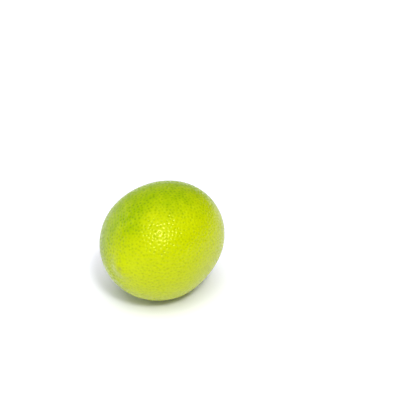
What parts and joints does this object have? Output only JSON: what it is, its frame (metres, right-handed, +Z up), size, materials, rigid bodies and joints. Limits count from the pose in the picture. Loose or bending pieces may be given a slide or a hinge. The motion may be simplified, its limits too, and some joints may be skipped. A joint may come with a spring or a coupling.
{
  "type": "lime",
  "caption": "Whole fresh lime: an oval citrus fruit with a low nipple, a waxy dimpled rind and a small dry stem button, lying on its side on a small flat spot.",
  "frame": {"origin": "on the surface that the lime rests on, under the middle of its box", "axes": "+X along the fruit's axis towards the stem end, +Z up"},
  "size_m": [0.0644, 0.0534, 0.0542],
  "materials": {
    "rind": "satin",
    "dry_calyx": "matte"
  },
  "bodies": {
    "root": {"fruit": "rind", "stem_button": "dry_calyx"}
  },
  "joints": []
}
